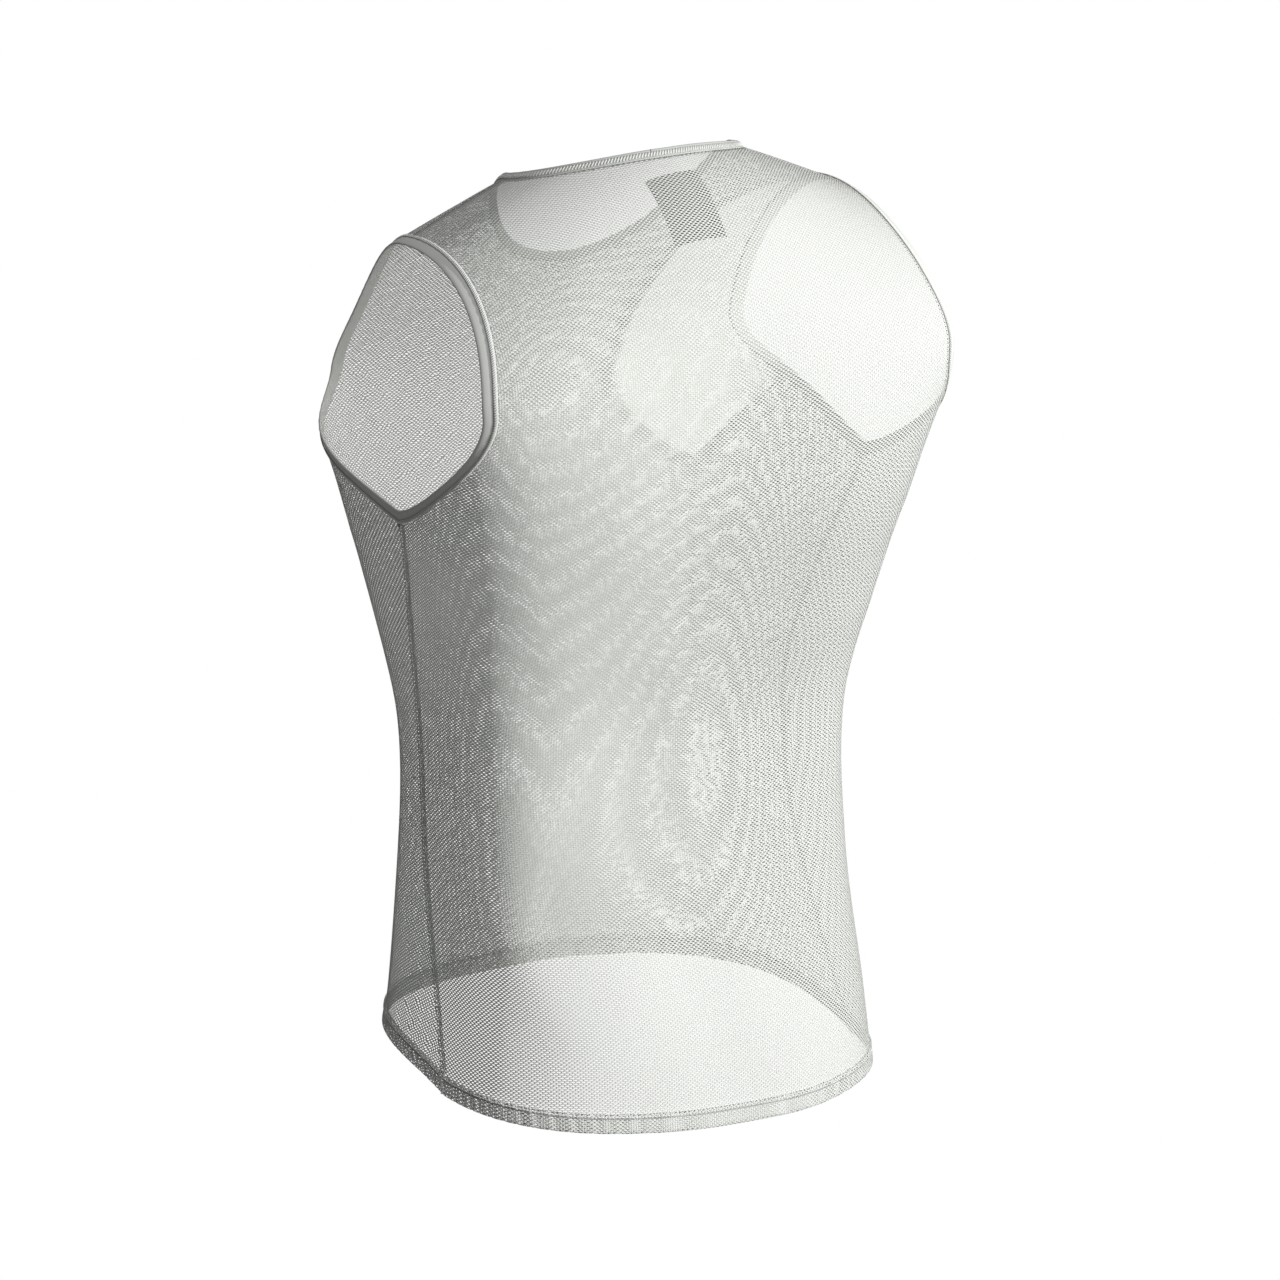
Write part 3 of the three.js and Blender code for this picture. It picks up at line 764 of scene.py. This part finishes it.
def armhole_binding(name, half):
    inner = BINDING_PROUD - BINDING_THICK
    rings = []
    for across, through in BINDING_SECTION:
        inset = lerp(ARM_STRIP, -BINDING_THICK / 2, across)
        at = armhole_loop(half, inset)
        rings.append(lifted(at, lerp(inner, BINDING_PROUD, through)))
    sections = np.stack(rings, axis=1)
    run = loop_length(sections[:, ARM_RUN])
    normal = form_normal(armhole_loop(half, ARM_STRIP / 2))
    sections += puckered(run[:-1], ARM_PUCKER, normal)
    widths = np.array([row[0] for row in BINDING_SECTION]) * ARM_STRIP
    return ring_object(name, sections, RIB, run, widths)


def all_round(steps, edge, on_shoulder=False):
    """Stations all round the garment: across the back from its left, and back across the front.

    edge gives the angle and latitude at each share of a quarter, from the side to the middle."""
    share = np.arange(steps) / steps
    quarters = [(1, BACK, share), (-1, BACK, 1 - share), (-1, FRONT, share), (1, FRONT, 1 - share)]
    edges = [edge(panel, t) for _, panel, t in quarters]
    return place(np.repeat([1, -1, -1, 1], steps),
                 np.concatenate([angle for angle, _ in edges]),
                 np.concatenate([latitude for _, latitude in edges]),
                 np.concatenate([on_shoulder & (t == 0) for _, _, t in quarters]))


def hem_loop(height):
    """Stations all round the garment at a height over its bottom fold."""
    def edge(panel, share):
        return side_place(panel, share, hem_height(panel, share) + height)

    return all_round(HEM_STEPS, edge)


NeckFrames = namedtuple("NeckFrames", "points normal inward stand outward")


def neck_frames():
    """Base points of the neck binding with their directions: off the panel, inward over the neck's
    opening, up the stand and out of the binding's outer face."""
    at = all_round(NECK_STEPS, neckline_edge, on_shoulder=True)
    normal = form_normal(at)
    points = form_point(at.half, at.angle, at.latitude)
    points = points + normal * settled(points)[..., None]
    along = unit(np.roll(points, -1, axis=0) - np.roll(points, 1, axis=0))
    inward = unit(np.cross(along, normal))
    centre_y = ring("centre_y", 0.0)
    facing = inward[:, 0] * points[:, 0] + inward[:, 1] * (points[:, 1] - centre_y)
    inward = np.where(facing[:, None] > 0, -inward, inward)
    stand = unit(inward + np.array([0, 0, NECK_LEAN]))
    outward = np.cross(stand, along)
    outward = np.where(np.sum(outward * normal, axis=-1)[:, None] < 0, -outward, outward)
    return NeckFrames(points, normal, inward, stand, unit(outward))


# The neck binding's section above its foot: the share of its stand, and the share of its half
# thickness outward.
NECK_SECTION = (
    (0.00, 1.00), (0.20, 1.10), (0.45, 1.12), (0.70, 1.08), (0.88, 0.98), (0.97, 0.70),
    (1.04, 0.25), (1.05, -0.25), (1.00, -0.70), (0.90, -0.98), (0.70, -1.06), (0.45, -1.08),
    (0.20, -1.05), (0.00, -1.00),
)
# Its foot, which lies along the panel: how far in from the seam, and the share of its half
# thickness above or below the middle.
NECK_FOOT_SECTION = ((0.0, -0.6), (0.0, 0.6), (0.0005, 0.95))
NECK_FOOT_LAST = (0.0005, -0.95)


def neck_binding(name):
    points, normal, inward, stand, outward = neck_frames()
    half = BINDING_THICK / 2
    root = points + inward * SEAM_CLEAR + normal * (BINDING_PROUD - half)
    foot = root + inward * NECK_FOOT

    def foot_ring(way_in, off):
        return root + inward * way_in + normal * half * off

    rings = [foot_ring(*corner) for corner in NECK_FOOT_SECTION]
    for up, out in NECK_SECTION:
        rings.append(foot + stand * up * (NECK_STRIP - NECK_FOOT) + outward * out * half)
    rings.append(foot_ring(*NECK_FOOT_LAST))
    sections = np.stack(rings, axis=1)
    run = loop_length(sections[:, NECK_RUN])
    sections[:, len(NECK_FOOT_SECTION):] += puckered(run[:-1], NECK_PUCKER, outward)
    widths = np.linspace(0, 2 * NECK_STRIP, sections.shape[1])
    return ring_object(name, sections, NECK_RIB_SHADED, run, widths)


# ---- seams and stitches ----

THREAD_SIDES = 6
THREAD_TIP = 0.05  # a thread's ends keep this share of its radius
THREAD_SHIFT = 0.0007  # from each thread to the next in the pattern of its cloth
# A thread's rings: where they lie, as shares of its length, and how wide they are.
THREAD_RINGS = ((-0.5, 0.0), (-0.42, 0.75), (-0.2, 1.0), (0.2, 1.0), (0.42, 0.75), (0.5, 0.0))


def threads(name, centres, directions, normals, length, radius, material=THREAD):
    """Short rounded stitches in one mesh, one at each centre, lying along its direction."""
    directions = unit(directions)
    sideways = unit(np.cross(normals, directions))
    upward = np.cross(directions, sideways)
    rings = []
    turns = np.arange(THREAD_SIDES) * 2 * math.pi / THREAD_SIDES
    length = np.broadcast_to(length, centres.shape[:1])[:, None, None]
    for along, wide in THREAD_RINGS:
        thick = max(wide, THREAD_TIP) * radius
        offset = (sideways[:, None, :] * np.cos(turns)[None, :, None]
                  + upward[:, None, :] * np.sin(turns)[None, :, None]) * thick
        rings.append(centres[:, None, :] + directions[:, None, :] * along * length + offset)
    points = np.stack(rings, axis=1)
    number = np.arange(len(points))[:, None, None]
    one = grid_faces(len(THREAD_RINGS), THREAD_SIDES, wrap_columns=True)
    faces = (one + number * len(THREAD_RINGS) * THREAD_SIDES).reshape(-1, 4)
    ends = np.array([row[0] for row in THREAD_RINGS])
    u = ends[:, None] * length
    v = turns * radius + number * THREAD_SHIFT
    return mesh_object(name, points, faces, stacked(u, v), material)


def resample(points, spacing, closed=True):
    """Fractional indices along a line of points, a fixed distance apart."""
    run = loop_length(points) if closed else line_length(points)
    count = max(int(round(run[-1] / spacing)), 2)
    marks = np.linspace(0, run[-1], count, endpoint=not closed)
    return np.interp(marks, run, np.arange(len(run)))


def sample(values, marks):
    low = np.floor(marks).astype(int)
    t = (marks - low)[:, None]
    count = len(values)
    return lerp(values[low % count], values[(low + 1) % count], t)


STITCH_LIFT = 0.4  # how far a thread's middle lies over the cloth, in its radii
BEAD_LIFT = 0.3
BEAD_AHEAD = 0.3  # a bead's direction is taken over this share of the pitch on each side
RIBBON_THICK = 0.00025


def cover_stitch(name, edge_a, edge_b, normals, pitch, radius, slant=0.0, closed=True,
                 reach_over=1.0):
    """A ladder of threads between two parallel lines, each thread leaning by slant pitches."""
    marks = resample(edge_a, pitch, closed)
    step = marks[1] - marks[0]
    a = sample(edge_a, marks)
    b = sample(edge_b, marks + slant * step)
    n = unit(sample(normals, marks))
    middle = (a + b) / 2 + n * radius * STITCH_LIFT
    length = np.linalg.norm(b - a, axis=-1) * reach_over
    return threads(name, middle, b - a, n, length, radius)


def bead_line(name, line, normals, pitch, radius, fill):
    """A row of threads along a closed line, each of which fills a share of the pitch."""
    marks = resample(line, pitch)
    centre = sample(line, marks)
    step = marks[1] - marks[0]
    after = sample(line, marks + BEAD_AHEAD * step)
    before = sample(line, np.maximum(marks - BEAD_AHEAD * step, 0))
    n = unit(sample(normals, marks))
    return threads(name, centre + n * radius * BEAD_LIFT, after - before, n, pitch * fill, radius)


def ribbon(name, lines, material, outward, closed=True, thickness=RIBBON_THICK):
    """A thin strip through parallel lines of points, which faces outward."""
    points = np.stack(lines, axis=1)
    stations, columns = points.shape[:2]
    run = line_length(points[:, 0])
    width = line_length(points[stations // 2])
    uvs = stacked(run[:, None], width[None, :])
    flip = outward_flip(points, outward[:, None, :].repeat(columns, axis=1))
    strip = mesh_object(name, points, grid_faces(stations, columns, wrap_rows=closed, flip=flip),
                        uvs, material)
    return solidify(strip, thickness)


# ---- building the garment ----

pieces = []


def add(piece, replaced=None):
    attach(piece, "root")
    if replaced:
        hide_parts(replaced)
    pieces.append(piece)
    return piece


knit_back = add(panel_object(BACK, KNIT_BACK), "back_panel")
knit_front = add(panel_object(FRONT, KNIT_FRONT), "front_panel")
add(neck_binding("binding_neck"), "neck_binding")
for side, half in SIDES.items():
    add(armhole_binding(f"binding_armhole_{side}", half), f"armhole_binding_{side}")

# Neck: a band of slanted cover stitches round the lower part of the binding's outer face, over a
# dark strip of painted shade, and the join of the binding's ends above it as one dark thread of
# painted shade.
SHADE_STRIP_LIFT = 0.00022
NECK_BAND = (0.03, 0.66)  # shares of the binding's stand
NECK_PITCH = 0.0023
NECK_SLANT = 0.55
NECK_THREAD = 0.00042
NECK_FACE = 1.12  # the binding's outer face, in halves of its thickness
JOIN_X = 0.014
JOIN_SHARE = 0.84
JOIN_LENGTH = 0.0026
JOIN_THREAD = 0.0003
neck_at = neck_frames()


def neck_line(share, lift):
    """A line all round the outer face of the neck binding, at a share of its stand."""
    foot = (neck_at.points + neck_at.inward * (SEAM_CLEAR + NECK_FOOT)
            + neck_at.normal * (BINDING_PROUD - BINDING_THICK / 2))
    face = NECK_FACE * BINDING_THICK / 2 + lift
    return foot + neck_at.stand * share * (NECK_STRIP - NECK_FOOT) + neck_at.outward * face


band = [neck_line(share, SHADE_STRIP_LIFT) for share in np.linspace(*NECK_BAND, 3)]
add(ribbon("painted_shade_neck", band, SHADE_STRIP, outward=neck_at.outward))
add(cover_stitch("stitches_neck", band[0], band[2], neck_at.outward, NECK_PITCH, NECK_THREAD,
                 slant=NECK_SLANT))
top = neck_line(JOIN_SHARE, 0.0)
join = int(np.argmin(np.abs(top[:2 * NECK_STEPS, 0] - JOIN_X)))
add(threads("join_neck", top[[join]], neck_at.stand[[join]], neck_at.outward[[join]], JOIN_LENGTH,
            JOIN_THREAD, SEAM_SHADE))

# Armholes: a narrower band on the sewn part of each binding, over a dark strip of painted shade.
ARM_BAND = (0.0062, 0.0090)
ARM_SHADE_STRIP_LIFT = 0.00075
ARM_PITCH = 0.0017
ARM_SLANT = 0.3
ARM_THREAD = 0.00050
ARM_REACH = 0.92  # each thread's length, as a share of the way across the band
for side, half in SIDES.items():
    band = [armhole_loop(half, d) for d in np.linspace(*ARM_BAND, 3)]
    outward = form_normal(band[1])
    lines = [lifted(at, ARM_SHADE_STRIP_LIFT) for at in band]
    add(ribbon(f"painted_shade_armhole_{side}", lines, SHADE_STRIP, outward=outward))
    add(cover_stitch(f"stitches_armhole_{side}", lines[0], lines[2], outward, ARM_PITCH, ARM_THREAD,
                     slant=ARM_SLANT, reach_over=ARM_REACH))

# Hem: two rows of stitches over the raw edge, and the step below them, drawn as a dark strip of
# painted shadow.
SHADE_LINE_THICK = 0.0002
HEM_STITCH_LIFT = 0.0011
HEM_PITCH = 0.0026
HEM_STEP = (0.0112, 0.0119)
# Each row of stitches: its height over the fold, the thread's radius and its share of the pitch.
HEM_ROWS = {"upper": (0.0152, 0.00030, 0.62), "lower": (0.0128, 0.00042, 0.94)}
for name, (height, radius, fill) in HEM_ROWS.items():
    at = hem_loop(height)
    add(bead_line(f"stitches_hem_{name}", lifted(at, HEM_STITCH_LIFT), form_normal(at),
                  HEM_PITCH, radius, fill))
step = [hem_loop(height) for height in HEM_STEP]
add(ribbon("painted_shadow_hem", [lifted(at, HEM_STITCH_LIFT) for at in step], SEAM_SHADE,
           outward=form_normal(step[0]), thickness=SHADE_LINE_THICK))

# Side seams: a fine groove outside, drawn as a dark line of painted shade, the doubled seam
# allowance inside it, towards the back, the overlocked tail over the hem, and a bar tack under the
# arm in the same painted-shade colour.
SEAM_STEPS = 60
EACH_WAY = np.array([-0.5, 0.5])  # shares of a width, to both sides of its middle
SHADE_LINE_WIDTH = 0.0006
SHADE_LINE_LIFT = 0.00012
ALLOWANCE = 0.0047
ALLOWANCE_START = 0.0003
ALLOWANCE_DEPTH = 0.0008
TAIL_START = 0.001
TAIL_HEIGHT = 0.017
TAIL_WIDTH = 0.0034
TAIL_LIFT = 0.0013
TAIL_PITCH = 0.0016
TAIL_SLANT = 0.8
TAIL_THREAD = 0.00045
TACK_LENGTH = 0.0042
TACK_LIFT = 0.0004
TACK_PITCH = 0.0008
TACK_THREADS = 3
TACK_THREAD = 0.0005


def seam_lines(half, heights, distances, lift):
    """Lines of points at these distances behind a side seam, and the normals along the first."""
    angle, latitude = np.radians(ring("seam", heights)), latitude_at(heights)
    lines = [place(half, angle + d / ring("back", heights), latitude) for d in distances]
    return [lifted(at, lift) for at in lines], form_normal(lines[0])


for side, half in SIDES.items():
    low = BACK.hem_side + HEM_PROFILE[-1][0]
    heights = np.linspace(low, UNDERARM - ARM_STRIP, SEAM_STEPS)
    lines, outward = seam_lines(half, heights, EACH_WAY * SHADE_LINE_WIDTH, SHADE_LINE_LIFT)
    add(ribbon(f"painted_shade_side_{side}", lines, SEAM_SHADE, closed=False, outward=outward,
               thickness=SHADE_LINE_THICK))
    distances = (ALLOWANCE_START, ALLOWANCE / 2, ALLOWANCE)
    lines, outward = seam_lines(half, heights, distances, -ALLOWANCE_DEPTH)
    add(ribbon(f"allowance_side_{side}", lines, KNIT_FRONT, closed=False, outward=outward,
               thickness=CLOTH))
    heights = BACK.hem_side + np.linspace(TAIL_START, TAIL_HEIGHT, SEAM_STEPS)
    lines, outward = seam_lines(half, heights, EACH_WAY * TAIL_WIDTH, TAIL_LIFT)
    add(cover_stitch(f"overlock_side_{side}", *lines, outward, TAIL_PITCH, TAIL_THREAD,
                     slant=TAIL_SLANT, closed=False))
    heights = UNDERARM - ARM_STRIP - TACK_PITCH * np.arange(TACK_THREADS)
    ends, outward = seam_lines(half, heights, EACH_WAY * TACK_LENGTH, TACK_LIFT)
    add(threads(f"tack_underarm_{side}", (ends[0] + ends[1]) / 2, ends[1] - ends[0], outward,
                TACK_LENGTH, TACK_THREAD, SEAM_SHADE))

# Shoulder seams: a tape inside each.
TAPE_WIDTH = 0.006
TAPE_THICK = 0.0004
TAPE_DEPTH = 0.0009
TAPE_STEPS = 40
TAPE_LINES = 5


def shoulder_tape(name, half):
    neck, arm = abs(float(neckline_edge(BACK, 0.0)[0])), math.radians(SHOULDER_TIP)
    angle = np.linspace(neck, arm, TAPE_STEPS)
    lines = []
    for aside in np.linspace(-0.5, 0.5, TAPE_LINES) * TAPE_WIDTH:
        at = place(half, np.sign(aside or 1) * angle, RIGHT_ANGLE - abs(aside) / SHOULDER_RISE)
        lines.append(lifted(at, -TAPE_DEPTH))
    return ribbon(name, lines, TAPE, closed=False, outward=form_normal(at), thickness=TAPE_THICK)


for side, half in SIDES.items():
    add(shoulder_tape(f"tape_shoulder_{side}", half))

# Label: a small woven patch inside the back neck, near black: its own dark colour, darkened
# further by painted shade.
LABEL_WIDTH = 0.044
LABEL_HEIGHT = 0.054
LABEL_DROP = 0.015
LABEL_ASIDE = 0.010  # to the wearer's left
LABEL_DEPTH = 0.0024
LABEL_THICK = 0.0004
LABEL_CURL = 0.0003  # of its edges, in waves
LABEL_WAVE = 95
LABEL_STEPS = 16


def label(name):
    neck_latitude = float(neckline_edge(BACK, np.array(1.0))[1])
    two = form_point(1, RIGHT_ANGLE, np.array([neck_latitude, neck_latitude - SLOPE_STEP]))
    per_metre = SLOPE_STEP / np.linalg.norm(two[0] - two[1])
    across = np.linspace(LABEL_WIDTH / 2, -LABEL_WIDTH / 2, LABEL_STEPS)[None, :]
    x = LABEL_ASIDE + across
    drop = LABEL_DROP + np.linspace(LABEL_HEIGHT, 0, LABEL_STEPS)[:, None]
    latitude = neck_latitude - drop * per_metre
    angle = np.arccos(np.abs(x) / ring("half_width", height_at(latitude)))
    at = place(np.where(x < 0, -1, 1), angle, latitude)
    free = np.abs(across) / LABEL_WIDTH + drop / LABEL_HEIGHT
    curl = LABEL_CURL * np.sin((x + drop) * LABEL_WAVE) * free
    points = lifted(at, -LABEL_DEPTH + curl)
    uvs = stacked(x, drop)
    flip = outward_flip(points, form_normal(at))
    patch = mesh_object(name, points, grid_faces(LABEL_STEPS, LABEL_STEPS, flip=flip), uvs, SATIN_DARK_AND_SHADED)
    return solidify(patch, LABEL_THICK)


neck_label = add(label("label_neck"), "neck_label")


# ---- the cut of the cloth ----


def cut(cloth):
    """Width and length of a cloth's flat cut, and its area, from its flat coordinates."""
    mesh = cloth.data
    uv = np.zeros(2 * len(mesh.loops), np.float32)
    mesh.uv_layers["flat"].data.foreach_get("uv", uv)
    quads = uv.reshape(-1, 4, 2)
    a, b = quads[:, 2] - quads[:, 0], quads[:, 3] - quads[:, 1]
    area = np.abs(a[:, 0] * b[:, 1] - a[:, 1] * b[:, 0]).sum() / 2
    return np.ptp(uv.reshape(-1, 2), axis=0), float(area)


trims = [piece for piece in pieces if piece not in (knit_back, knit_front, neck_label)]
for cloth, sewn_on in ((knit_back, trims), (knit_front, ()), (neck_label, ())):
    size, area = cut(cloth)
    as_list(sewn_on)

# ---- stage, light and camera ----

FLOOR_Z = -1.6
FLOOR_SIZE = 1.3


def stage():
    white = Nodes("pale_floor")
    set_inputs(white.shader, {"Base Color": (0.9, 0.9, 0.9, 1), "Roughness": 0.9,
                              "Emission Color": (1, 1, 1, 1), "Emission Strength": 0.9})
    bpy.ops.mesh.primitive_plane_add(size=FLOOR_SIZE, location=(0, 0, FLOOR_Z))
    floor = bpy.context.active_object
    floor.name = "floor"
    floor.data.materials.append(white.material)


FILL = 0.12
CENTRE = Vector((0, 0, -0.325))
LIGHT_DISTANCE = 3.0
# Each light: the way towards it, its size across and its power.
LIGHTS = {
    "key": ((-0.51, 0.85, 0.17), 0.05, 112.0),
    "overhead": ((0.05, 0.52, 0.85), 1.6, 34.0),
}


def lights():
    world = bpy.data.worlds.new("studio")
    world.use_nodes = True
    tree = world.node_tree
    seen = tree.nodes["Background"]
    set_inputs(seen, {"Color": (1, 1, 1, 1), "Strength": 1.0})
    cast = tree.nodes.new("ShaderNodeBackground")
    set_inputs(cast, {"Color": (1, 1, 1, 1), "Strength": FILL})
    path = tree.nodes.new("ShaderNodeLightPath")
    mix = tree.nodes.new("ShaderNodeMixShader")
    tree.links.new(path.outputs["Is Camera Ray"], mix.inputs[0])
    tree.links.new(cast.outputs[0], mix.inputs[1])
    tree.links.new(seen.outputs[0], mix.inputs[2])
    tree.links.new(mix.outputs[0], tree.nodes["World Output"].inputs["Surface"])
    bpy.context.scene.world = world
    for name, (way, size, power) in LIGHTS.items():
        direction = Vector(way).normalized()
        data = bpy.data.lights.new(name, "AREA")
        data.shape = "DISK"
        data.size = size
        data.energy = power
        light = new_object(name, data)
        light.location = CENTRE + direction * LIGHT_DISTANCE
        light.rotation_euler = direction.to_track_quat("Z", "Y").to_euler()


CAMERA_AZIMUTH = 145
CAMERA_ELEVATION = 12
CAMERA_DISTANCE = 3.3
CAMERA_LENS = 128.1
AIM_RIGHT = 0.0065
AIM_DOWN = 0.0196


def camera():
    turn, tilt = math.radians(CAMERA_AZIMUTH), math.radians(CAMERA_ELEVATION)
    level = math.cos(tilt)
    back = Vector((math.sin(turn) * level, -math.cos(turn) * level, math.sin(tilt)))
    right = Vector((math.cos(turn), math.sin(turn), 0))
    up = back.cross(right)
    aim = CENTRE + right * AIM_RIGHT - up * AIM_DOWN
    data = bpy.data.cameras.new("camera")
    data.lens = CAMERA_LENS
    data.sensor_width = 36
    data.clip_end = 50
    eye = new_object("camera", data)
    axes = Matrix((right, up, back)).transposed()
    eye.matrix_world = Matrix.Translation(aim + back * CAMERA_DISTANCE) @ axes.to_4x4()
    bpy.context.scene.camera = eye


stage()
lights()
camera()
bpy.context.scene.view_settings.view_transform = "Standard"
